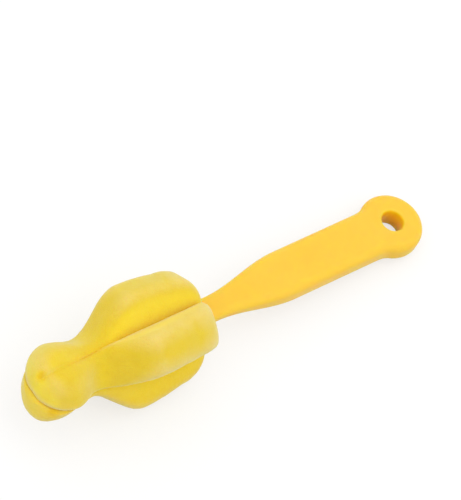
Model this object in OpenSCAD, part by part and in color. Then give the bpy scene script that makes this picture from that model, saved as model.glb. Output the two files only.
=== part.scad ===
// Foam brush for washing bottles and cups: one moulded handle, and a head of two foam slabs
// that are pressed together over the barbed spine at the handle's end.
// Millimetres, +Z up. The origin is the middle of the hanging hole, whose axis is Z, and +X
// runs along the brush to the tip of the head.

/* [Ring] */
// Outside diameter of the hanging ring
ring_d = 29; // [25:0.5:34]
// Diameter of the hanging hole
hole_d = 10; // [5:0.5:14]
// Radius that rounds each rim of the hanging hole
rim_r = 1; // [0.5:0.25:1.5]

/* [Grip and neck] */
// Width of the grip
grip_w = 22; // [18:0.5:24]
// Thickness of the ring and of the grip
grip_t = 10.5; // [8:0.5:12]
// Radius that rounds the long edges of the ring and of the grip
edge_r = 3.5; // [1:0.25:3.75]
// Distance from the hanging hole to the back of the foam head
reach = 108.5; // [98:0.5:130]
// Length over which the grip narrows to the neck
taper_len = 39.5; // [25:0.5:50]
// Length of straight neck that shows between the taper and the foam head
neck_len = 9.5; // [3:0.5:14]
// Width of the neck
neck_w = 11.4; // [9.5:0.1:15]
// Thickness of the neck
neck_t = 5.5; // [5:0.25:7.5]
// Radius that rounds the long edges of the neck
neck_edge_r = 2; // [0.5:0.25:2.25]

/* [Spine inside the foam] */
// Depth to which the neck sits in the foam head
neck_seat = 6; // [3:0.5:10]
// Length of the spine past the neck
spine_len = 66; // [45:1:70]
// Width of the spine over the tips of its barbs
spine_w = 8; // [7:0.25:9]
// Thickness of the spine
spine_t = 3.5; // [2.5:0.25:4.5]
// Height of each barb over the edge of the spine
barb_h = 1.2; // [0.5:0.1:2]
// Number of barbs along each edge of the spine
barb_count = 7; // [4:1:10]
// Gap between the plastic and the foam around it
foam_gap = 0.2; // [0.1:0.05:0.4]

/* [Foam head] */
// Length of the foam head
head_len = 87.5; // [86:0.5:100]
// Thickness of each foam slab where it stands free as a lobe
slab_t = 17; // [13:0.5:18]
// Thickness of each foam slab around the tip
tip_t = 10.5; // [9:0.5:13]
// Angle of each lobe above or below the joint of the two slabs
lobe_angle = 51; // [44:1:54]
// Angle of the slab's edges around the tip
tip_angle = 37; // [34:1:44]
// Radius of the round bulb at the tip
bulb_r = 16; // [14:0.5:18]
// Distance from the tip to the widest place of the bulb
bulb_s = 16; // [13:0.5:18]
// Radius of the waist behind the bulb
waist_r = 12; // [11:0.5:13.5]
// Distance from the tip to the waist
waist_s = 28.5; // [24:0.5:32]
// Radius of the lobes at the shoulder, where the head is widest
shoulder_r = 27; // [22:0.5:32]
// Distance from the tip to the shoulder
shoulder_s = 53; // [44:1:58]
// Radius of the lobes where their back corner starts to round
back_r = 25; // [20:0.5:30]
// Length over which the back corner of each lobe rounds off
back_round = 15; // [8:1:22]
// Height of the pressed crease along the middle of each slab, over the joint
crease_h = 14.5; // [11:0.5:16]
// How far the corners of each lobe's edge are rounded
crest_round = 5; // [2:0.5:6]
// Height of the slab's nose over the joint at the tip
nose_h = 4.5; // [3.5:0.25:6]
// Depth of the groove that runs between the slabs round the tip
groove_d = 4; // [1.5:0.25:5]

/* [Hidden] */

$fn = 96;
// Steps round each rounded corner of the skinned surfaces, and up each plain side of a lobe
corner_steps = 6;
side_steps = 3;
// Spacing of the rings along the plain stretches of the foam head and of the taper
ring_step = 2.5;
// How far a cutting tool reaches past the face that it cuts
past = 1;

ring_r = ring_d / 2;
hole_r = hole_d / 2;
taper_end = reach - neck_len;
taper_start = taper_end - taper_len;
neck_end = reach + neck_seat;
spine_end = neck_end + spine_len;
tip_x = reach + head_len;
back_s = head_len - back_round;
// Half the width that is left between the crests of a slab's two lobes on the flat back face
crest_gap = 0.4;
// Radius of the lobes on the back face, where the crests of two lobes all but meet
end_r = slab_t / 2 * tan(lobe_angle) + crest_gap / cos(lobe_angle);

// Plain helpers: a mix of two values, a smooth step, a quarter circle and a direction
function mix(a, b, t) = a + (b - a) * t;
function clamp(t) = min(max(t, 0), 1);
function ease(t) = let (c = clamp(t)) c * c * (3 - 2 * c);
function arc(t) = sqrt(1 - pow(1 - clamp(t), 2));
function unit(v) = v / norm(v);

// A corner p between a and b, rounded from a distance d along each side
function rounded(a, p, b, d) = let (
    da = min(d, 0.48 * norm(a - p)),
    db = min(d, 0.48 * norm(b - p)),
    from = p + unit(a - p) * da,
    to = p + unit(b - p) * db
) [for (i = [0:corner_steps]) let (t = i / corner_steps) mix(mix(from, p, t), mix(p, to, t), t)];

// Points from a up to, but not including, b
function stretch(a, b) = [for (i = [0:side_steps - 1]) mix(a, b, i / side_steps)];

// The mean of a ring's points
function middle(ring) = [for (p = ring) 1] * ring / len(ring);

// A closed solid over a list of rings along the brush, each with the same number of points.
// Each end is closed by a fan of triangles round the ring's middle.
module skin(rings) {
    n = len(rings[0]);
    last = len(rings) - 1;
    hub = n * len(rings);
    points = concat([for (ring = rings) each ring], [middle(rings[0]), middle(rings[last])]);
    sides = [for (k = [0:last - 1], i = [0:n - 1]) let (j = (i + 1) % n, a = k * n, b = a + n)
        each [[a + i, b + i, b + j], [a + i, b + j, a + j]]];
    ends = [for (i = [0:n - 1]) let (j = (i + 1) % n)
        each [[hub, i, j], [hub + 1, last * n + j, last * n + i]]];
    polyhedron(points, concat(sides, ends), convexity = 6);
}

// ---- Handle ----

// Width and thickness of the bar at a distance x from the hanging hole
function taper_at(x) = ease((x - taper_start) / taper_len);
function bar_w(x) = mix(grip_w, neck_w, taper_at(x));
function bar_t(x) = mix(grip_t, neck_t, taper_at(x));
function bar_r(x) = mix(edge_r, neck_edge_r, taper_at(x));

// A rounded rectangle across the brush at x, grown by g all round
function bar_ring(x, g = 0) = let (
    r = bar_r(x) + g,
    y = bar_w(x) / 2 + g - r,
    z = bar_t(x) / 2 + g - r
) [for (q = [0:3], i = [0:corner_steps]) let (
    a = 90 * (q + i / corner_steps),
    side = [[1, 1], [-1, 1], [-1, -1], [1, -1]][q]
) [x, side.x * y + r * cos(a), side.y * z + r * sin(a)]];

// The grip, its taper and the neck, as one skinned bar that starts inside the ring
module bar() {
    taper_steps = ceil(taper_len / ring_step);
    stations = concat(
        [0],
        [for (i = [0:taper_steps]) taper_start + taper_len * i / taper_steps],
        [neck_end]
    );
    skin([for (x = stations) bar_ring(x)]);
}

// Half of the ring's section: a rectangle with its two outer corners rounded
module ring_section() {
    translate([0, -grip_t / 2]) square([ring_r - edge_r, grip_t]);
    translate([0, edge_r - grip_t / 2]) square([ring_r, grip_t - 2 * edge_r]);
    for (side = [-1, 1])
        translate([ring_r - edge_r, side * (grip_t / 2 - edge_r)]) circle(edge_r);
}

// The hole and its rounded rims, as one turned cutter
module hanging_hole() {
    cylinder(r = hole_r, h = grip_t + 2 * past, center = true);
    for (side = [0, 1])
        mirror([0, 0, side]) rotate_extrude() difference() {
            translate([0, grip_t / 2 - rim_r]) square([hole_r + rim_r, rim_r + past]);
            translate([hole_r + rim_r, grip_t / 2 - rim_r]) circle(rim_r);
        }
}

// The flat spine seen from above: each barb is steep towards the handle, so that the foam
// slides on from the tip and can't be pulled off
module spine_outline() {
    pitch = spine_len / (barb_count + 1);
    core = spine_w / 2 - barb_h;
    edge = [for (i = [0:barb_count - 1]) let (x = neck_end + pitch * (i + 0.5))
        each [[x, core], [x, spine_w / 2], [x + pitch * 0.8, core]]];
    translate([taper_end, -core]) square([spine_end - core - taper_end, 2 * core]);
    translate([spine_end - core, 0]) circle(core);
    for (side = [0, 1])
        mirror([0, side]) polygon(concat([[neck_end, 0], [neck_end, core]], edge,
            [[spine_end - core, core], [spine_end - core, 0]]));
}

module handle() {
    color("#FFD152") difference() {
        union() {
            rotate_extrude() ring_section();
            bar();
            linear_extrude(spine_t, center = true) spine_outline();
        }
        hanging_hole();
    }
}

// ---- Foam head ----

// Radius of a lobe at a distance s from the tip
function lobe_r(s) =
    s < waist_s ? mix(bulb_r, waist_r, ease((s - bulb_s) / (waist_s - bulb_s))) :
    s < shoulder_s ? mix(waist_r, shoulder_r, ease((s - waist_s) / (shoulder_s - waist_s))) :
    s < back_s ? mix(shoulder_r, back_r, pow((s - shoulder_s) / (back_s - shoulder_s), 2)) :
    mix(end_r, back_r, arc((head_len - s) / back_round));

// Height of a section's point near the tip, where the slab closes round its nose
function nosed(h, s) = h > nose_h
    ? mix(nose_h, h, arc(s / (bulb_s / 2)))
    : mix(nose_h, h, arc(s / groove_d));

// One half of a slab's section at s, from the crease over the lobe to the joint
function half_section(s) = let (
    k = ease((s - bulb_s) / (shoulder_s - bulb_s)),
    angle = mix(tip_angle, lobe_angle, k),
    t = mix(tip_t, slab_t, k),
    outer = lobe_r(s) * [cos(angle), sin(angle)],
    across = t / 2 * [-sin(angle), cos(angle)],
    top = outer + across,
    side = outer - across,
    fold = ease((s - bulb_s) / (waist_s - bulb_s)),
    crease = [0, mix(top.y, min(crease_h, top.y - 1), fold)],
    root = [min(t / (2 * sin(angle)), 0.85 * side.x), 0]
) concat(
    stretch(crease, rounded(crease, top, side, crest_round)[0]),
    rounded(crease, top, side, crest_round),
    rounded(top, side, root, crest_round),
    [root]
);

// The whole section at s as a ring of points
function slab_ring(s) = let (
    half = half_section(s),
    right = [for (p = half) [tip_x - s, p.x * arc(s / bulb_s), nosed(p.y, s)]],
    n = len(right)
) concat(right, [for (i = [n - 1:-1:1]) [right[i].x, -right[i].y, right[i].z]]);

// Distances from the tip at which the slab has a ring
function slab_stations() = let (
    steps = ceil((back_s - bulb_s) / ring_step)
) concat(
    [for (a = [5:8:85]) bulb_s * (1 - cos(a))],
    [for (i = [0:steps]) mix(bulb_s, back_s, i / steps)],
    [for (a = [80:-10:0]) head_len - back_round * (1 - cos(a))]
);

// The space that the neck and the spine take in the foam
module handle_socket() {
    skin([for (x = [reach - past, neck_end + foam_gap]) bar_ring(x, foam_gap)]);
    linear_extrude(spine_t + 2 * foam_gap, center = true) offset(delta = foam_gap) spine_outline();
}

// A foam slab lies on the joint with its lobes up
module slab() {
    difference() {
        skin([for (s = slab_stations()) slab_ring(s)]);
        handle_socket();
    }
}

module upper_foam_slab() {
    color("#F4DC50") slab();
}

module lower_foam_slab() {
    color("#E6C83C") rotate([180, 0, 0]) slab();
}

handle();
upper_foam_slab();
lower_foam_slab();
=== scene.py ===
"""The looks of a foam brush for washing bottles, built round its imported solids.

Metres. The origin is the middle of the hanging hole, +X runs to the tip of the foam head and
+Z along the hole. The two foam slabs lie on each other at Z = 0, except near the tip, where their
joint climbs a little. Each has a lobe on either side, the left one at -Y and the right one at +Y.
"""
import math

import bmesh
import bpy
import numpy as np
from mathutils import Matrix, Vector
from mathutils.bvhtree import BVHTree


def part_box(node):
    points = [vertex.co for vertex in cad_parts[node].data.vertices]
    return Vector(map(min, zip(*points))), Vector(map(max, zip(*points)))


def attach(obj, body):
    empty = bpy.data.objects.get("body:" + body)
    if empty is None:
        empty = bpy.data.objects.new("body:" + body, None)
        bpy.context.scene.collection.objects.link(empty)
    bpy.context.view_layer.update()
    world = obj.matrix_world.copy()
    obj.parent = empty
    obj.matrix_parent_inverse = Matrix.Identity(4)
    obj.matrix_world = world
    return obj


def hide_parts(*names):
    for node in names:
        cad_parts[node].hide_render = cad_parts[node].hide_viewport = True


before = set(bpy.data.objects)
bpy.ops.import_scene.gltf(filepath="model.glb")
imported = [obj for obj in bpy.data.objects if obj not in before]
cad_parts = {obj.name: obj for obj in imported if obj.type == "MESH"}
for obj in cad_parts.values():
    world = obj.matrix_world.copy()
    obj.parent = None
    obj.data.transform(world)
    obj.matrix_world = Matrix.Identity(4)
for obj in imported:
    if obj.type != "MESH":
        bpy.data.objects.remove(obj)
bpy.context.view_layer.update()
bpy.ops.object.select_all(action="DESELECT")
scene = bpy.context.scene
MM = 0.001

# ---- The photograph's frame, its image points and the camera ----

W, H = 461, 500
POINTS = {
    "left_edge": (20.0, None),
    "right_edge": (422.5, None),
    "top_edge": (None, 195.0),
    "bottom_edge": (None, 422.0),
    "hanging_hole": (392.3, 219.9),
    "upper_lobe_top": (None, 270.5),
    "front_lobe_back": (219.0, None),
    "lower_lobe_bottom": (None, 407.8),
    "stem_upper_side": (200.5, 298.4),
    "stem_lower_side": (215.8, 321.0),
    "crease_front": (80.0, 357.0),
    "crease_middle": (133.0, 334.0),
    "crease_back": (190.0, 303.5),
    "tip_dimple": (40.9, 376.6),
    "under_tip_hollow": (53.5, 413.0),
}
AIM = Vector((0.05710, -0.03048, -0.02572))
DISTANCE = 1.6356
TURN = math.radians(120.36)
HEIGHT = math.radians(52.78)
ROLL = math.radians(29.32)
LENS = 270.85


def add_camera():
    data = bpy.data.cameras.new("camera")
    data.sensor_fit = "AUTO"
    data.sensor_width = 36
    data.lens = LENS
    data.clip_end = 10
    camera = bpy.data.objects.new("camera", data)
    scene.collection.objects.link(camera)
    back = Vector((
        math.sin(TURN) * math.cos(HEIGHT),
        -math.cos(TURN) * math.cos(HEIGHT),
        math.sin(HEIGHT),
    ))
    level = Vector((0, 0, 1)).cross(back).normalized()
    right = Matrix.Rotation(ROLL, 3, back) @ level
    axes = Matrix((right, back.cross(right), back)).transposed()
    camera.matrix_world = Matrix.Translation(AIM + DISTANCE * back) @ axes.to_4x4()
    scene.camera = camera
    bpy.context.view_layer.update()
    return camera


camera = add_camera()


def ray_through(x, y):
    """The line of sight through an image point: its start and its direction."""
    long_side = max(W, H)
    data = camera.data
    along = Vector((
        x - W / 2 + data.shift_x * long_side,
        H / 2 - y + data.shift_y * long_side,
        -long_side * data.lens / data.sensor_width,
    ))
    return camera.matrix_world.translation, (camera.matrix_world.to_3x3() @ along).normalized()


def tree_of(piece):
    mesh = piece.data
    return BVHTree.FromPolygons([v.co for v in mesh.vertices], [p.vertices for p in mesh.polygons])


def place_on(piece, point):
    """Where a line of sight meets a finished piece, or the piece's place nearest to the line."""
    eye, along = ray_through(*point)
    spot = tree_of(piece).ray_cast(eye, along)[0]
    if spot is None:
        places = (v.co for v in piece.data.vertices)
        spot = min(places, key=lambda co: (co - eye).cross(along).length)
    return spot.copy()


# ---- Foam head: the slabs as the photograph shows them, each lobe a little unlike the others ----

HEAD_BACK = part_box("upper_foam_slab")[0].x / MM
HEAD_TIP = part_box("upper_foam_slab")[1].x / MM
HEAD_LENGTH = HEAD_TIP - HEAD_BACK

# Rounding of the lobes' long edges
CREST_ROUND = 5.4
# How far each lobe's bulb and waist stand out past the slab's, the rounding of its edges along the
# crease, towards the joint and at its end, and how far its end stands back past the others
PLAIN_LOBE = dict(
    bulb=0.0, waist=0.0, inner_round=CREST_ROUND, outer_round=CREST_ROUND, end=4.0, back=0.0,
)
# Angle of each lobe from the joint in degrees, its thickness, how far it stands out past the others
# at its back, and what isn't plain about it. The upper right lobe is the one at the front
LOBES = {
    "upper_left": dict(PLAIN_LOBE, angle=54.6, thick=16.5, proud=0.4),
    "upper_right": dict(
        angle=49.4, thick=20.8, proud=-0.3, bulb=-1.0, waist=-2.0,
        inner_round=8.0, outer_round=8.5, end=6.5, back=1.4,
    ),
    "lower_left": dict(PLAIN_LOBE, angle=51.0, thick=16.5, proud=0.2),
    "lower_right": dict(PLAIN_LOBE, angle=51.1, thick=15.7, proud=0.1),
}
# Distances from the tip and radii of each slab's bulb, waist and shoulder, the height of its nose,
# how deep its rim at the joint is rounded, how far its bulb is pressed over to +Y and leans about
# X, how much it falls short of the tip, how strong the painted pale highlight along its rim at the
# joint is, and what share of the orange painted shade lies over the whole slab
SLABS = {
    "upper": dict(
        bulb_s=14.0, bulb_r=16.5, waist_s=30.2, waist_r=12.0, shoulder_s=52.4,
        nose_h=3.2, rim=0.7, shift=1.0, lean=0.04, short=1.5, rim_highlight=0.9, deep=0.0,
    ),
    # The lower slab's yellow is deepened all over with orange painted shade, as less light reaches
    # it
    "lower": dict(
        bulb_s=10.6, bulb_r=13.4, waist_s=26.2, waist_r=11.6, shoulder_s=53.0,
        nose_h=3.0, rim=1.7, shift=1.7, lean=-0.29, short=0.0, rim_highlight=0.5, deep=0.4,
    ),
}
SHOULDER_R = 27.2
BACK_R = 24.9
# The lobes' backs are rounded over this length, on a curve a little fuller than a circle's
BACK_ROUND = 15.2
BACK_FULLNESS = 2.2
BACK_S = HEAD_LENGTH - BACK_ROUND
END_R = 9.1
TIP_THICK = 10.8
TIP_ANGLE = 36.3
# Distance from the tip up to which it leans in full, and the length over which that ends
TIP_FULL = 12
TIP_BLEND = 18.0
# Height of the crown over the crests at the tip, and of the crease between the lobes, which lies
# at least a little under the crests
CROWN = 1.0
CREASE_H = 12.7
CREASE_LEAST = 0.6
# How far each crest keeps off the middle
CREST_OFF = 0.4
# How far a lobe's side along the crease bows out, as a share of that side
LOBE_PLUMP = 0.02
# A lobe's side meets the joint no further out than this share of its lower corner's distance
ROOT_SHARE = 0.93
# Height to which the joint of the slabs climbs at the tip, and the height where that ends
JOINT_RISE = 1.9
RISE_END = 6.5
# Each slab keeps this little off the joint
JOINT_GAP = 0.04
# Height over the joint from which a section leans freely
FREE_HEIGHT = 4
# How far the sides of the lobes towards the joint bow out
SWELL = 0.3
# How far the outer ends of the lobes stand back past the foam round the neck
BACK_BULGE = 0.3
# Depth and half-width of the thin pressed line along the crease, and the share of orange painted
# shade that it takes
PRESSED_DEPTH = 0.4
PRESSED_WIDTH = 1.2
CREASE_SHADE = 0.7
# Below this height there is no crease to press
CREASE_LOWEST = 3
SOFTEN_STEPS = 24
# Share in which the smoothing reaches the lobes and the joint
SOFTEN_LEAST = 0.15
# Rounds of smoothing against which a place on the foam counts as standing out or sunk
MELT_STEPS = 40
# Size and depth of the foam's lumps and of its pores
LUMPS = (7, 0.35)
PORES = (0.9, 0.10)


def mix(a, b, t):
    return a + (b - a) * t


def clamp(t):
    return min(max(t, 0.0), 1.0)


def ease(t):
    t = clamp(t)
    return t * t * (3 - 2 * t)


def ramp(value, start, width):
    """Goes from 0 at the start to 1 a width past it."""
    return ease((value - start) / width)


def arc(t, power=2.0):
    """A quarter of a round, or of a fuller curve where the power is over 2."""
    return (1 - (1 - clamp(t)) ** power) ** (1 / power)


def lobe_radius(s, slab, lobe):
    """How far a lobe reaches from the brush's axis, at a distance s from the tip."""
    waist, proud = slab["waist_r"] + lobe["waist"], lobe["proud"]
    if s < slab["waist_s"]:
        t = (s - slab["bulb_s"]) / (slab["waist_s"] - slab["bulb_s"])
        return mix(slab["bulb_r"] + lobe["bulb"], waist, ease(t))
    if s < slab["shoulder_s"]:
        t = (s - slab["waist_s"]) / (slab["shoulder_s"] - slab["waist_s"])
        return mix(waist, SHOULDER_R + proud, ease(t))
    if s < BACK_S:
        t = (s - slab["shoulder_s"]) / (BACK_S - slab["shoulder_s"])
        return mix(SHOULDER_R, BACK_R, t * t) + proud
    return mix(END_R, BACK_R + proud, arc((HEAD_LENGTH - s) / BACK_ROUND, BACK_FULLNESS))


def near_tip(s):
    """1 at the tip, where the slabs lean and their joint climbs, and 0 past its blend."""
    return 1 - ramp(s, TIP_FULL, TIP_BLEND)


def rounded(a, corner, b, size, steps=8):
    """A corner between a and b, rounded from a distance size along each side."""
    to_a, to_b = a - corner, b - corner
    start = corner + to_a * min(size / np.linalg.norm(to_a), 0.48)
    end = corner + to_b * min(size / np.linalg.norm(to_b), 0.48)
    ts = np.linspace(0, 1, steps + 1)
    return [mix(mix(start, corner, t), mix(corner, end, t), t) for t in ts]


def between(a, b, steps, swell=0.0, crowd=1.0):
    """Points from a up to b, but not b, bowed out to the left by swell and crowded towards a."""
    across = np.array([a[1] - b[1], b[0] - a[0]]) / np.linalg.norm(b - a)
    ts = [(i / steps) ** crowd for i in range(steps)]
    return [mix(a, b, t) + across * swell * 4 * t * (1 - t) for t in ts]


def half_section(s, slab, lobe):
    """Half a slab's section, as (sideways, height), from the crease over the lobe to the joint."""
    k = ramp(s, slab["bulb_s"], slab["shoulder_s"] - slab["bulb_s"])
    fold = ramp(s, slab["bulb_s"], slab["waist_s"] - slab["bulb_s"])
    angle = math.radians(mix(TIP_ANGLE, lobe["angle"], k))
    end_round = 2 * lobe["end"] * (1 - arc((HEAD_LENGTH - s) / lobe["end"]))
    thick = mix(TIP_THICK, lobe["thick"], k) - end_round
    outer = lobe_radius(s, slab, lobe) * np.array([math.cos(angle), math.sin(angle)])
    across = thick / 2 * np.array([-math.sin(angle), math.cos(angle)])
    top, side = outer + across, outer - across
    top[0] = max(top[0], CREST_OFF)
    crease = np.array([0, mix(top[1] + CROWN, min(CREASE_H, top[1] - CREASE_LEAST), fold)])
    plump = LOBE_PLUMP * k * np.linalg.norm(top - crease)
    furthest = ROOT_SHARE * side[0]
    root = np.array([min(mix(furthest, thick / (2 * math.sin(angle)), k), furthest), 0])
    upper_corner = rounded(crease, top, side, mix(CREST_ROUND, lobe["inner_round"], k))
    lower_corner = rounded(top, side, root, mix(CREST_ROUND, lobe["outer_round"], k))
    return (
        between(crease, upper_corner[0], 10, plump, crowd=1.4)
        + upper_corner
        + between(upper_corner[-1], lower_corner[0], 5)[1:]
        + lower_corner
        + between(lower_corner[-1], root, 9, SWELL * fold)[1:]
        + between(root, np.zeros(2), 4)
    )


def nosed(height, s, slab):
    """A height near the tip, where the slab closes round its nose."""
    if height > slab["nose_h"]:
        return mix(slab["nose_h"], height, arc(s / (slab["bulb_s"] / 2)))
    return mix(slab["nose_h"], height, arc(s / slab["rim"]))


def slab_ring(s, slab, left, right, side):
    """A slab's whole section at s. side is 1 for the upper slab and -1 for the lower one."""
    halves = [half_section(s, slab, left), half_section(s, slab, right)]
    crease = (halves[0][0] + halves[1][0]) / 2
    lean = slab["lean"] * near_tip(s)
    short = slab["short"] * near_tip(s)
    right_half = [crease] + halves[1][1:]
    left_half = list(reversed(halves[0][1:]))
    ring = []
    for half, hand, lobe in ((right_half, 1, right), (left_half, -1, left)):
        for p in half:
            across = hand * p[0] * arc(s / slab["bulb_s"])
            height = side * max(nosed(p[1], s, slab), JOINT_GAP)
            free = clamp(abs(height) / FREE_HEIGHT)
            y = across * math.cos(lean) + height * math.sin(lean) + slab["shift"] * near_tip(s)
            z = height * math.cos(lean) - across * math.sin(lean) * free
            z += JOINT_RISE * near_tip(s) * (1 - clamp(abs(height) / RISE_END))
            bulge = BACK_BULGE * math.hypot(y, z) + lobe["back"] * abs(y)
            bulge *= ramp(s, BACK_S, BACK_ROUND) / BACK_R
            ring.append((HEAD_TIP - s - bulge - short, y, z))
    return ring


def slab_stations(slab):
    """Distances of a slab's sections from the tip, closest together where it closes at its ends."""
    nose = [slab["bulb_s"] * (1 - math.cos(math.radians(a))) for a in range(5, 90, 6)]
    body = list(np.linspace(slab["bulb_s"], BACK_S, 58))
    turns = [1 - math.cos(math.radians(a)) for a in range(84, -1, -6)]
    return nose + body + [HEAD_LENGTH - BACK_ROUND * turn for turn in turns]


def skin(name, rings):
    """A closed mesh over rings of points in millimetres, with a fan over each end."""
    n = len(rings[0])
    points = [p for ring in rings for p in ring]
    faces = [
        (k * n + i, k * n + (i + 1) % n, (k + 1) * n + (i + 1) % n, (k + 1) * n + i)
        for k in range(len(rings) - 1)
        for i in range(n)
    ]
    for ring_start in (0, n * (len(rings) - 1)):
        points.append(tuple(np.mean(points[ring_start:ring_start + n], axis=0)))
        hub = len(points) - 1
        faces += [(hub, ring_start + i, ring_start + (i + 1) % n) for i in range(n)]
    mesh = bpy.data.meshes.new(name)
    mesh.from_pydata([Vector(p) * MM for p in points], [], faces)
    shape = bmesh.new()
    shape.from_mesh(mesh)
    bmesh.ops.recalc_face_normals(shape, faces=shape.faces)
    shape.to_mesh(mesh)
    shape.free()
    piece = bpy.data.objects.new(name, mesh)
    scene.collection.objects.link(piece)
    return piece


def apply_modifier(piece, kind, **values):
    modifier = piece.modifiers.new(kind.lower(), kind)
    for key, value in values.items():
        setattr(modifier, key, value)
    with bpy.context.temp_override(object=piece, active_object=piece, selected_objects=[piece]):
        bpy.ops.object.modifier_apply(modifier=modifier.name)


def roughen(piece, size, depth):
    """Uneven lumps or pores, off the face that lies on the other slab and off both ends."""
    group = piece.vertex_groups.get("outside") or piece.vertex_groups.new(name="outside")
    for vertex in piece.data.vertices:
        s = HEAD_TIP - vertex.co.x / MM
        off_ends = ramp(s, 1.8, 3) * ramp(HEAD_LENGTH - s, 0.5, 3)
        off_joint = ramp(height_off_joint(vertex.co), 0.3, 1.5)
        group.add([vertex.index], off_joint * off_ends, "REPLACE")
    clouds = bpy.data.textures.new(piece.name + "_lumps", "CLOUDS")
    clouds.noise_scale = size * MM
    clouds.noise_depth = 1
    apply_modifier(piece, "DISPLACE", texture=clouds, texture_coords="LOCAL", strength=depth * MM,
                   mid_level=0.5, vertex_group="outside")


def press(piece, spot, radius, depth):
    """Presses a round hollow into a piece, and tells each vertex's part in it."""
    shares = [math.exp(-1.5 * ((v.co - spot).length / radius) ** 2) for v in piece.data.vertices]
    pulls = (v.normal * share for v, share in zip(piece.data.vertices, shares))
    outward = sum(pulls, Vector()).normalized()
    for vertex, share in zip(piece.data.vertices, shares):
        vertex.co -= outward * depth * share
    return np.array(shares)


def height_off_joint(co):
    """How far a place lies above or below the joint of the slabs, in millimetres."""
    s = HEAD_TIP - co.x / MM
    return abs(co.z / MM - JOINT_RISE * near_tip(s))


def soften(piece, steps):
    """Melts the edges of the bulb and the waist together, and those of the lobes a little."""
    group = piece.vertex_groups.new(name="soft")
    for vertex in piece.data.vertices:
        s = HEAD_TIP - vertex.co.x / MM
        off_joint = mix(SOFTEN_LEAST, 1.0, ramp(height_off_joint(vertex.co), 0.5, 4))
        group.add([vertex.index], mix(1.0, SOFTEN_LEAST, ramp(s, 36, 16)) * off_joint, "REPLACE")
    apply_modifier(piece, "SMOOTH", factor=0.5, iterations=steps, vertex_group="soft")


def press_crease(piece, side, line):
    """Presses the thin line of the crease into a slab, and tells each vertex's part in it."""
    xs, ys = np.array(line)[:, 0], np.array(line)[:, 1]
    shares = np.zeros(len(piece.data.vertices))
    for vertex in piece.data.vertices:
        x, y, z = vertex.co / MM
        if z * side < CREASE_LOWEST:
            continue
        off = (y - np.interp(-x, -xs, ys)) / PRESSED_WIDTH
        s = HEAD_TIP - x
        depth = PRESSED_DEPTH * ramp(s, 11, 10) * mix(1, 0.6, ramp(s, 26, 14))
        depth *= ramp(HEAD_LENGTH - s, 1, 6)
        vertex.co.z -= side * depth * MM * math.exp(-off * off)
        shares[vertex.index] = depth / PRESSED_DEPTH * math.exp(-off * off)
    return shares


def mark_wear_and_painted_light(piece, slab, lobes, pressed):
    """Stores how far out on its lobe a vertex lies, its worn edge with a painted sheen highlight,
    painted bounce light where it lies sunk, and painted shade where it is pressed.
    """
    mesh = piece.data
    count = len(mesh.vertices)
    co = np.empty(count * 3)
    mesh.vertices.foreach_get("co", co)
    co = co.reshape(-1, 3) / MM
    normals = np.array([v.normal for v in mesh.vertices])
    ends = np.array([e.vertices for e in mesh.edges])
    pairs = np.concatenate([ends, ends[:, ::-1]])
    around = np.bincount(pairs[:, 0], minlength=count)
    melted = co.copy()
    for _ in range(MELT_STEPS):
        sums = [np.bincount(pairs[:, 0], melted[pairs[:, 1], axis], count) for axis in range(3)]
        melted = np.stack(sums, axis=1) / around[:, None]
    proud = ((co - melted) * normals).sum(axis=1)
    # Crests are coloured darker, partly the duller cut skin and partly painted shade against the
    # stronger light there
    out = []
    for x, y, z in co:
        s = clamp((HEAD_TIP - x) / HEAD_LENGTH) * HEAD_LENGTH
        reach = lobe_radius(s, slab, lobes[1 if y > 0 else 0])
        out.append(ramp(math.hypot(y, z) / max(reach, 1), 0.72, 0.3))
    off_joint = np.array([height_off_joint(v.co) for v in mesh.vertices])
    # A painted pale highlight along each slab's rim at the joint near the tip, over the shade of
    # the seam
    rim = np.exp(-(off_joint / 2.8) ** 2) * [1 - ramp(HEAD_TIP - x, 14, 10) for x in co[:, 0]]
    # Painted bounce light in the hollows, weaker near the tip
    body = [mix(0.3, 1, ramp(HEAD_TIP - x, 26, 14)) for x in co[:, 0]]
    # Worn edges take a painted sheen highlight, sunk places painted bounce light, pressed places
    # and the lower slab painted shade
    for name, values in (
        ("crest", out),
        ("worn_and_sheen", np.maximum(np.clip((proud - 0.25) / 0.8, 0, 1), rim * slab["rim_highlight"])),
        ("sunk_bounce_light", np.clip((-proud - 0.1) / 0.6, 0, 1) * body),
        ("pressed", np.maximum(pressed, slab["deep"])),
    ):
        mesh.attributes.new(name, "FLOAT", "POINT").data.foreach_set("value", values)


def select_only(piece):
    bpy.ops.object.select_all(action="DESELECT")
    piece.select_set(True)
    bpy.context.view_layer.objects.active = piece


def smooth_shade(piece, angle):
    """Shades a piece smooth, except at edges sharper than an angle in degrees."""
    select_only(piece)
    bpy.ops.object.shade_smooth_by_angle(angle=math.radians(angle))


def foam_slab(name, side, slab, lobes, dent):
    """A whole slab, and the place of the dent that is pressed into its tip."""
    rings = [slab_ring(s, slab, *lobes, side) for s in slab_stations(slab)]
    piece = skin(name, rings)
    apply_modifier(piece, "SUBSURF", levels=1, render_levels=1)
    soften(piece, SOFTEN_STEPS)
    in_crease = press_crease(piece, side, [ring[0] for ring in rings])
    spot = place_on(piece, dent["point"])
    in_dent = press(piece, spot, dent["radius"] * MM, dent["depth"] * MM)
    # The dent and the crease line take orange painted shade
    mark_wear_and_painted_light(piece, slab, lobes, np.maximum(in_dent, CREASE_SHADE * in_crease))
    roughen(piece, *LUMPS)
    roughen(piece, *PORES)
    smooth_shade(piece, 60)
    return piece, spot


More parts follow.
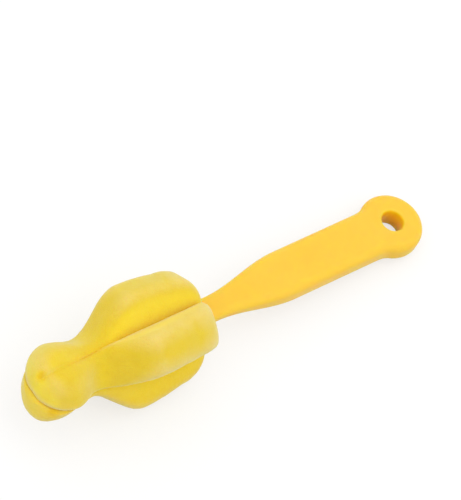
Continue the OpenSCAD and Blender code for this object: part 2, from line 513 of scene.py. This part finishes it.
upper_slab, dimple = foam_slab(
    "upper_foam", 1, SLABS["upper"], (LOBES["upper_left"], LOBES["upper_right"]),
    dict(point=POINTS["tip_dimple"], radius=2.4, depth=1.0),
)
lower_slab, hollow = foam_slab(
    "lower_foam", -1, SLABS["lower"], (LOBES["lower_left"], LOBES["lower_right"]),
    dict(point=POINTS["under_tip_hollow"], radius=4.2, depth=1.4),
)

# ---- Handle: one moulding, drawn as a flat outline, raised, rounded and thinned to the neck ----

RING_R = 14.5
HOLE_R = 5.0
RIM_R = 1.0
DRILL_LENGTH = 30
GRIP_T = 10.5
EDGE_R = 3.5
NECK_HALF = 5.7
NECK_T = 5.5
TAPER = (59.5, 99.0)
NECK_END = 114.5
# Half widths of the bar from the ring to the grip, with a soft corner where they meet
RING_CORNER = [(8.1, 12.03), (9.2, 11.6), (10.6, 11.22), (12.4, 11.03), (14.5, 11.0)]
# The spine's end, its half widths between the barbs and over them, and its thickness
SPINE_END = 180.5
SPINE_CORE = 2.8
SPINE_HALF = 4.0
SPINE_T = 3.5
BARBS = 7
# Length of a barb's steep side
BARB_STEP = 0.02
# Room between the plastic and the foam round it
FOAM_GAP = 0.2


def pick(piece, kind, test):
    """In edit mode, selects only the vertices, edges or faces whose middle passes a test."""
    bpy.ops.mesh.select_mode(type=kind)
    bpy.ops.mesh.select_all(action="DESELECT")
    shape = bmesh.from_edit_mesh(piece.data)
    for item in {"VERT": shape.verts, "EDGE": shape.edges, "FACE": shape.faces}[kind]:
        corners = [item] if kind == "VERT" else item.verts
        item.select_set(bool(test(sum((v.co for v in corners), Vector()) / len(corners) / MM)))
    shape.select_flush_mode()
    bmesh.update_edit_mesh(piece.data)


def draw_strip(stations):
    """From a selected edge across the brush, extrudes a strip through (x, half width) stations."""
    for (x0, half0), (x1, half1) in zip(stations, stations[1:]):
        bpy.ops.mesh.extrude_region_move(TRANSFORM_OT_translate={"value": ((x1 - x0) * MM, 0, 0)})
        bpy.ops.transform.resize(value=(1, half1 / half0, 1), center_override=(0, 0, 0))


def raise_solid(piece, thick):
    """Raises a flat outline in edit mode to a solid that is centred on Z = 0."""
    bpy.ops.mesh.select_all(action="SELECT")
    bpy.ops.mesh.extrude_region_move(TRANSFORM_OT_translate={"value": (0, 0, thick * MM)})
    bpy.ops.mesh.select_all(action="SELECT")
    bpy.ops.mesh.normals_make_consistent(inside=False)


def taper_at(x):
    return ease((x - TAPER[0]) / (TAPER[1] - TAPER[0]))


def spine(grow=0.0):
    """The flat spine in the foam, with steep barbs on both edges, or the room that it takes."""
    pitch = (SPINE_END - NECK_END) / (BARBS + 1)
    stations = [(TAPER[1], SPINE_CORE + grow)]
    for i in range(BARBS):
        x = NECK_END + pitch * (i + 0.5)
        stations += [
            (x - grow, SPINE_CORE + grow),
            (x - grow + BARB_STEP, SPINE_HALF + grow),
            (x + pitch * 0.8, SPINE_CORE + grow),
        ]
    for a in range(0, 76, 15):
        stations.append((
            SPINE_END - SPINE_CORE + (SPINE_CORE + grow) * math.sin(math.radians(a)),
            (SPINE_CORE + grow) * math.cos(math.radians(a)),
        ))
    thick = SPINE_T + 2 * grow
    bpy.ops.mesh.primitive_plane_add(size=1, location=(0, 0, 0))
    piece = bpy.context.active_object
    piece.name = "spine"
    bpy.ops.object.mode_set(mode="EDIT")
    pick(piece, "VERT", lambda co: co.x < 0)
    bpy.ops.mesh.delete(type="VERT")
    bpy.ops.mesh.select_all(action="SELECT")
    bpy.ops.transform.resize(value=(1, 2 * stations[0][1] * MM, 1), center_override=(0, 0, 0))
    bpy.ops.transform.translate(value=(stations[0][0] * MM - 0.5, 0, -thick / 2 * MM))
    draw_strip(stations)
    raise_solid(piece, thick)
    bpy.ops.object.mode_set(mode="OBJECT")
    return piece


def make_handle():
    """The whole moulding. Its outline starts as the ring's circle, cut where the bar joins it."""
    bpy.ops.mesh.primitive_circle_add(vertices=120, radius=RING_R * MM, location=(0, 0, 0))
    piece = bpy.context.active_object
    piece.name = "moulded_handle"
    bpy.ops.object.mode_set(mode="EDIT")
    bpy.ops.transform.translate(value=(0, 0, -GRIP_T / 2 * MM))
    pick(piece, "VERT", lambda co: co.x > 0 and abs(co.y) < RING_CORNER[0][1] - 0.1)
    bpy.ops.mesh.delete(type="VERT")
    bpy.ops.mesh.select_all(action="SELECT")
    bpy.ops.mesh.edge_face_add()
    ends = [v.co / MM for v in bmesh.from_edit_mesh(piece.data).verts]
    last = max(ends, key=lambda co: co.x)
    pick(piece, "EDGE", lambda co: abs(co.y) < 0.01 and co.x > 0)
    bar = [(last.x, abs(last.y))] + RING_CORNER[1:]
    bar += [(x, mix(RING_CORNER[-1][1], NECK_HALF, taper_at(x))) for x in np.linspace(*TAPER, 25)]
    bar += [(x, NECK_HALF) for x in np.linspace(TAPER[1], NECK_END, 16)[1:]]
    draw_strip(bar)
    corner_end = RING_CORNER[-1][0]
    pick(piece, "EDGE", lambda co: abs(co.y) < 0.01 and last.x - 0.1 < co.x < corner_end - 0.1)
    bpy.ops.mesh.dissolve_edges(use_verts=False)
    raise_solid(piece, GRIP_T)
    # The edges round the outline lie between a flat and an upright face, the neck's end stays sharp
    bpy.ops.mesh.select_mode(type="EDGE")
    bpy.ops.mesh.select_all(action="DESELECT")
    shape = bmesh.from_edit_mesh(piece.data)
    for edge in shape.edges:
        upright = sorted(abs(face.normal.z) < 0.5 for face in edge.link_faces)
        inside = min(v.co.x for v in edge.verts) < (NECK_END - 0.01) * MM
        edge.select_set(upright == [False, True] and inside)
    shape.select_flush_mode()
    bmesh.update_edit_mesh(piece.data)
    bpy.ops.mesh.bevel(offset=EDGE_R * MM, segments=8, affect="EDGES", clamp_overlap=False)
    for x, _ in bar[len(RING_CORNER):]:
        pick(piece, "VERT", lambda co: abs(co.x - x) < 0.02)
        thin = mix(1, NECK_T / GRIP_T, taper_at(x))
        bpy.ops.transform.resize(value=(1, 1, thin), center_override=(0, 0, 0))
    bpy.ops.object.mode_set(mode="OBJECT")
    # The hanging hole and its rounded rims
    bpy.ops.mesh.primitive_cylinder_add(
        vertices=96, radius=HOLE_R * MM, depth=DRILL_LENGTH * MM, location=(0, 0, 0),
    )
    drill = bpy.context.active_object
    apply_modifier(piece, "BOOLEAN", object=drill, operation="DIFFERENCE", solver="EXACT")
    bpy.data.objects.remove(drill)
    select_only(piece)
    bpy.ops.object.mode_set(mode="EDIT")
    face = GRIP_T / 2 - 0.01
    pick(piece, "EDGE", lambda co: math.hypot(co.x, co.y) < HOLE_R + 0.01 and abs(co.z) > face)
    bpy.ops.mesh.bevel(offset=RIM_R * MM, segments=4, affect="EDGES")
    bpy.ops.object.mode_set(mode="OBJECT")
    rod = spine()
    apply_modifier(piece, "BOOLEAN", object=rod, operation="UNION", solver="EXACT")
    bpy.data.objects.remove(rod)
    smooth_shade(piece, 40)
    return piece


def cut_socket(slab):
    """Takes the room of the neck and the spine, and a small gap round them, out of a foam slab."""
    bpy.ops.mesh.primitive_cube_add(size=1, location=(0, 0, 0))
    neck = bpy.context.active_object
    bpy.ops.object.mode_set(mode="EDIT")
    pick(neck, "EDGE", lambda co: abs(co.x) < 0.01)
    bpy.ops.mesh.bevel(offset=0.2, segments=4, affect="EDGES")
    bpy.ops.mesh.select_all(action="SELECT")
    length = NECK_END + FOAM_GAP - TAPER[1]
    bpy.ops.transform.resize(
        value=(length * MM, 2 * (NECK_HALF + FOAM_GAP) * MM, (NECK_T + 2 * FOAM_GAP) * MM),
        center_override=(0, 0, 0),
    )
    bpy.ops.transform.translate(value=((TAPER[1] + length / 2) * MM, 0, 0))
    bpy.ops.object.mode_set(mode="OBJECT")
    room = spine(FOAM_GAP)
    apply_modifier(slab, "TRIANGULATE")
    for cutter in (neck, room):
        apply_modifier(slab, "BOOLEAN", object=cutter, operation="DIFFERENCE", solver="EXACT")
        bpy.data.objects.remove(cutter)
    apply_modifier(slab, "TRIANGULATE")


moulded_handle = make_handle()
cut_socket(upper_slab)
cut_socket(lower_slab)

# ---- Materials ----


def new_material(name):
    material = bpy.data.materials.new(name)
    material.use_nodes = True
    return material, material.node_tree.nodes, material.node_tree.links


# Colours of the foam: on the sides of the lobes; on their crests, duller, partly the cut skin and
# partly painted shade against the stronger light there; where it is worn, paler, with a painted
# sheen highlight; where it lies sunk, painted bounce light of a deeper yellow; and where it is
# pressed and over the lower slab, orange painted shade
SIDE = (0.93, 0.73, 0.030, 1)
CREST = (0.80, 0.59, 0.030, 1)
WORN_AND_SHEEN = (0.83, 0.64, 0.16, 1)
SUNK_BOUNCE_LIGHT = (0.97, 0.76, 0.012, 1)
PRESSED_SHADE = (0.86, 0.56, 0.012, 1)


def foam_material():
    """Open-cell foam: fine pores, pale worn crest edges with a painted sheen highlight, duller
    crests partly in painted shade, painted bounce light in hollows, and orange painted shade where
    it is pressed.
    """
    material, nodes, links = new_material("head_foam")
    shader = nodes["Principled BSDF"]
    shader.inputs["Roughness"].default_value = 1.0
    shader.inputs["Specular IOR Level"].default_value = 0.1
    shader.inputs["Sheen Weight"].default_value = 0.65
    shader.inputs["Subsurface Weight"].default_value = 0.5
    shader.inputs["Subsurface Radius"].default_value = (1.0, 0.7, 0.15)
    shader.inputs["Subsurface Scale"].default_value = 0.003
    shader.inputs["Sheen Roughness"].default_value = 0.5
    shader.inputs["Sheen Tint"].default_value = (1.0, 0.98, 0.75, 1)
    place = nodes.new("ShaderNodeTexCoord")
    mottle = nodes.new("ShaderNodeTexNoise")
    mottle.inputs["Scale"].default_value = 220
    mottle.inputs["Detail"].default_value = 5
    links.new(place.outputs["Object"], mottle.inputs["Vector"])
    pores = nodes.new("ShaderNodeTexVoronoi")
    pores.inputs["Scale"].default_value = 1500
    links.new(place.outputs["Object"], pores.inputs["Vector"])
    colour = None
    # Layers over the side colour: darker crests, worn edges with a painted sheen highlight, painted
    # bounce light in hollows, painted shade where pressed
    for attribute, tint in (("crest", CREST), ("worn_and_sheen", WORN_AND_SHEEN), ("sunk_bounce_light", SUNK_BOUNCE_LIGHT), ("pressed", PRESSED_SHADE)):
        amount = nodes.new("ShaderNodeAttribute")
        amount.attribute_name = attribute
        layer = nodes.new("ShaderNodeMix")
        layer.data_type = "RGBA"
        if colour:
            links.new(colour, layer.inputs["A"])
        else:
            layer.inputs["A"].default_value = SIDE
        layer.inputs["B"].default_value = tint
        links.new(amount.outputs["Fac"], layer.inputs["Factor"])
        colour = layer.outputs["Result"]
    spots = nodes.new("ShaderNodeMapRange")
    spots.inputs["From Min"].default_value = 0.45
    spots.inputs["From Max"].default_value = 0.75
    links.new(mottle.outputs["Fac"], spots.inputs["Value"])
    darker = nodes.new("ShaderNodeMix")
    darker.data_type = "RGBA"
    darker.blend_type = "MULTIPLY"
    darker.inputs["B"].default_value = (0.97, 0.95, 0.75, 1)
    links.new(spots.outputs["Result"], darker.inputs["Factor"])
    links.new(colour, darker.inputs["A"])
    links.new(darker.outputs["Result"], shader.inputs["Base Color"])
    bump = nodes.new("ShaderNodeBump")
    bump.inputs["Strength"].default_value = 0.5
    bump.inputs["Distance"].default_value = 0.0003
    links.new(pores.outputs["Distance"], bump.inputs["Height"])
    links.new(bump.outputs["Normal"], shader.inputs["Normal"])
    return material


def handle_material():
    """Moulded satin plastic with a faint grain, and painted bounce light of a deep orange on the
    wall of the hanging hole.
    """
    material, nodes, links = new_material("handle_plastic")
    shader = nodes["Principled BSDF"]
    shader.inputs["Roughness"].default_value = 0.42
    shader.inputs["Specular IOR Level"].default_value = 0.5
    shader.inputs["Specular Tint"].default_value = (1.0, 0.8, 0.4, 1)
    shader.inputs["Subsurface Weight"].default_value = 1.0
    shader.inputs["Subsurface Radius"].default_value = (1.0, 0.35, 0.05)
    shader.inputs["Subsurface Scale"].default_value = 0.008
    place = nodes.new("ShaderNodeTexCoord")
    cloud = nodes.new("ShaderNodeTexNoise")
    cloud.inputs["Scale"].default_value = 35
    cloud.inputs["Detail"].default_value = 3
    links.new(place.outputs["Object"], cloud.inputs["Vector"])
    base = nodes.new("ShaderNodeMix")
    base.data_type = "RGBA"
    base.inputs["A"].default_value = (0.95, 0.62, 0.068, 1)
    base.inputs["B"].default_value = (0.93, 0.59, 0.054, 1)
    links.new(cloud.outputs["Fac"], base.inputs["Factor"])
    # Painted bounce light: the wall of the hanging hole is painted the deepest orange, for the
    # light that bounces in it and glows through the plastic
    flat = nodes.new("ShaderNodeVectorMath")
    flat.operation = "MULTIPLY"
    flat.inputs[1].default_value = (1, 1, 0)
    links.new(place.outputs["Object"], flat.inputs[0])
    from_axis = nodes.new("ShaderNodeVectorMath")
    from_axis.operation = "LENGTH"
    links.new(flat.outputs["Vector"], from_axis.inputs[0])
    painted_bounce_mask = nodes.new("ShaderNodeMapRange")
    painted_bounce_mask.inputs["From Min"].default_value = (HOLE_R + 0.45) * MM
    painted_bounce_mask.inputs["From Max"].default_value = (HOLE_R + 0.05) * MM
    links.new(from_axis.outputs["Value"], painted_bounce_mask.inputs["Value"])
    deep = nodes.new("ShaderNodeMix")
    deep.data_type = "RGBA"
    deep.inputs["B"].default_value = (1.0, 0.60, 0.002, 1)
    links.new(base.outputs["Result"], deep.inputs["A"])
    links.new(painted_bounce_mask.outputs["Result"], deep.inputs["Factor"])
    links.new(deep.outputs["Result"], shader.inputs["Base Color"])
    grain = nodes.new("ShaderNodeTexNoise")
    grain.inputs["Scale"].default_value = 900
    grain.inputs["Detail"].default_value = 4
    links.new(place.outputs["Object"], grain.inputs["Vector"])
    bump = nodes.new("ShaderNodeBump")
    bump.inputs["Strength"].default_value = 0.08
    bump.inputs["Distance"].default_value = 0.0002
    links.new(grain.outputs["Fac"], bump.inputs["Height"])
    links.new(bump.outputs["Normal"], shader.inputs["Normal"])
    return material


def floor_material():
    """A pale floor that shows white, and keeps the brush's shadow."""
    material, nodes, links = new_material("floor_paper")
    shader = nodes["Principled BSDF"]
    shader.inputs["Base Color"].default_value = (0.6, 0.6, 0.6, 1)
    shader.inputs["Roughness"].default_value = 0.9
    shader.inputs["Specular IOR Level"].default_value = 0.0
    white = nodes.new("ShaderNodeBsdfDiffuse")
    white.inputs["Color"].default_value = (1, 1, 1, 1)
    glow = nodes.new("ShaderNodeEmission")
    shown = nodes.new("ShaderNodeMixShader")
    shown.inputs["Fac"].default_value = 0.65
    links.new(white.outputs["BSDF"], shown.inputs[1])
    links.new(glow.outputs["Emission"], shown.inputs[2])
    path = nodes.new("ShaderNodeLightPath")
    in_view = nodes.new("ShaderNodeMath")
    in_view.operation = "MAXIMUM"
    links.new(path.outputs["Is Camera Ray"], in_view.inputs[0])
    links.new(path.outputs["Is Glossy Ray"], in_view.inputs[1])
    either = nodes.new("ShaderNodeMixShader")
    links.new(in_view.outputs["Value"], either.inputs["Fac"])
    links.new(shader.outputs["BSDF"], either.inputs[1])
    links.new(shown.outputs["Shader"], either.inputs[2])
    links.new(either.outputs["Shader"], nodes["Material Output"].inputs["Surface"])
    return material


plastic = handle_material()
foam = foam_material()
for piece, material, node, slot in (
    (moulded_handle, plastic, "handle", "handle_plastic"),
    (upper_slab, foam, "upper_foam_slab", "head_foam"),
    (lower_slab, foam, "lower_foam_slab", "head_foam"),
):
    piece.data.materials.append(material)
    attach(piece, "root")
    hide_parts(node)

# ---- Floor and light ----


def add_floor():
    """The floor touches the lower lobes and the ring, so it tilts a little from the brush."""
    feet = [v.co for v in lower_slab.data.vertices]
    ring = [v.co for v in moulded_handle.data.vertices if v.co.x < 0]
    tilt = 0.0
    for _ in range(4):
        ring_foot = min(ring, key=lambda co: co.z - co.x * math.tan(tilt))
        tilt = min(math.atan2(co.z - ring_foot.z, co.x - ring_foot.x) for co in feet)
    bpy.ops.mesh.primitive_plane_add(size=8, location=ring_foot, rotation=(0, -tilt, 0))
    floor = bpy.context.active_object
    floor.name = "floor"
    floor.data.materials.append(floor_material())


def add_light(name, size, power, place, aim):
    data = bpy.data.lights.new(name, "AREA")
    data.shape = "DISK"
    data.size = size
    data.energy = power
    lamp = bpy.data.objects.new(name, data)
    scene.collection.objects.link(lamp)
    lamp.location = place
    lamp.rotation_euler = (Vector(place) - Vector(aim)).to_track_quat("Z", "Y").to_euler()


def add_world():
    """A soft even sky, a trifle brighter overhead, that shows white to the camera."""
    world = bpy.data.worlds.new("studio")
    scene.world = world
    world.use_nodes = True
    nodes, links = world.node_tree.nodes, world.node_tree.links
    direction = nodes.new("ShaderNodeTexCoord")
    parts = nodes.new("ShaderNodeSeparateXYZ")
    links.new(direction.outputs["Generated"], parts.inputs["Vector"])
    sky = nodes.new("ShaderNodeMapRange")
    sky.inputs["To Min"].default_value = 1.0
    sky.inputs["To Max"].default_value = 1.02
    links.new(parts.outputs["Z"], sky.inputs["Value"])
    path = nodes.new("ShaderNodeLightPath")
    in_view = nodes.new("ShaderNodeMath")
    in_view.operation = "MAXIMUM"
    links.new(path.outputs["Is Camera Ray"], in_view.inputs[0])
    links.new(path.outputs["Is Transmission Ray"], in_view.inputs[1])
    strength = nodes.new("ShaderNodeMix")
    strength.inputs["B"].default_value = 1.0
    links.new(sky.outputs["Result"], strength.inputs["A"])
    links.new(in_view.outputs["Value"], strength.inputs["Factor"])
    nodes["Background"].inputs["Color"].default_value = (1, 1, 1, 1)
    links.new(strength.outputs["Result"], nodes["Background"].inputs["Strength"])


add_floor()
add_world()
add_light("key", 1.6, 3.6, (0.05, 0.5, 1.7), (0.09, 0, 0))

scene.view_settings.view_transform = "Standard"

# ---- How far each thing shows from its image point ----


def project(co):
    """Image places of a list of points."""
    axes = np.array(camera.matrix_world.to_3x3())
    local = (np.array(co) - np.array(camera.matrix_world.translation)) @ axes
    scale = max(W, H) * camera.data.lens / camera.data.sensor_width
    x = W / 2 + scale * local[:, 0] / -local[:, 2]
    y = H / 2 - scale * local[:, 1] / -local[:, 2]
    return np.stack([x, y], axis=1)


TREES = [tree_of(piece) for piece in (moulded_handle, upper_slab, lower_slab)]


def shows(spot):
    """Whether nothing stands between the camera and a place on a piece."""
    eye = camera.matrix_world.translation
    away = spot - eye
    hits = (tree.ray_cast(eye, away.normalized())[3] for tree in TREES)
    return all(hit is None or hit > away.length - 0.4 * MM for hit in hits)


def seen(piece):
    """The vertices of a piece that show, and their image places."""
    spots = [v.co for v in piece.data.vertices if shows(v.co)]
    return spots, project(spots)


def nearest(line, point):
    """How far the nearest place of a line in the image lies from a point."""
    off = line - np.array(point)
    return off[np.argmin((off ** 2).sum(axis=1))]


def measure_points():
    handle_spots, handle_view = seen(moulded_handle)
    upper_spots, upper_view = seen(upper_slab)
    lower_spots, lower_view = seen(lower_slab)
    view = np.concatenate([handle_view, upper_view, lower_view])
    off = {
        "left_edge": (view[:, 0].min() - POINTS["left_edge"][0], None),
        "right_edge": (view[:, 0].max() - POINTS["right_edge"][0], None),
        "top_edge": (None, view[:, 1].min() - POINTS["top_edge"][1]),
        "bottom_edge": (None, view[:, 1].max() - POINTS["bottom_edge"][1]),
    }
    rim_foot = (GRIP_T / 2 - RIM_R - 0.1) * MM
    rim = np.array([
        p for co, p in zip(handle_spots, handle_view)
        if co.z > rim_foot and math.hypot(co.x, co.y) < (HOLE_R + 0.3) * MM
    ])
    off["hanging_hole"] = (rim.min(axis=0) + rim.max(axis=0)) / 2 - POINTS["hanging_hole"]
    shoulder = (HEAD_TIP - 40) * MM
    off["upper_lobe_top"] = (None, upper_view[:, 1].min() - POINTS["upper_lobe_top"][1])
    off["front_lobe_back"] = (upper_view[:, 0].max() - POINTS["front_lobe_back"][0], None)
    bottom = max(p[1] for co, p in zip(lower_spots, lower_view) if co.x < shoulder)
    off["lower_lobe_bottom"] = (None, bottom - POINTS["lower_lobe_bottom"][1])
    for name, hand in (("stem_upper_side", -1), ("stem_lower_side", 1)):
        side = [
            (co.x, p) for co, p in zip(handle_spots, handle_view)
            if co.x > TAPER[1] * MM and hand * co.y > 0
        ]
        reach = max(x for x, _ in side)
        ends = np.array([p for x, p in side if x > reach - 0.3 * MM])
        off[name] = nearest(ends, POINTS[name])
    # The crease is the lowest place that shows between the crests, millimetre by millimetre
    spots = np.array(upper_spots)
    line = []
    for x in np.arange(HEAD_BACK + 6, HEAD_TIP - 16, 1.0):
        near = (abs(spots[:, 0] / MM - x) < 0.6) & (abs(spots[:, 1]) < 4 * MM)
        if near.any():
            lowest = np.where(near)[0][np.argmin(spots[near][:, 2])]
            line.append(upper_view[lowest])
    for name in ("crease_front", "crease_middle", "crease_back"):
        off[name] = nearest(np.array(line), POINTS[name])
    for name, slab, placed in (
        ("tip_dimple", upper_slab, dimple),
        ("under_tip_hollow", lower_slab, hollow),
    ):
        pressed = slab.data.attributes["pressed"].data
        near = [v for v in slab.data.vertices if (v.co - placed).length < 4 * MM]
        deepest = max(near, key=lambda v: pressed[v.index].value)
        off[name] = project([deepest.co])[0] - POINTS[name]
    return {
        name: [None if value is None else round(float(value), 2) for value in pair]
        for name, pair in off.items()
    }


measure_points()
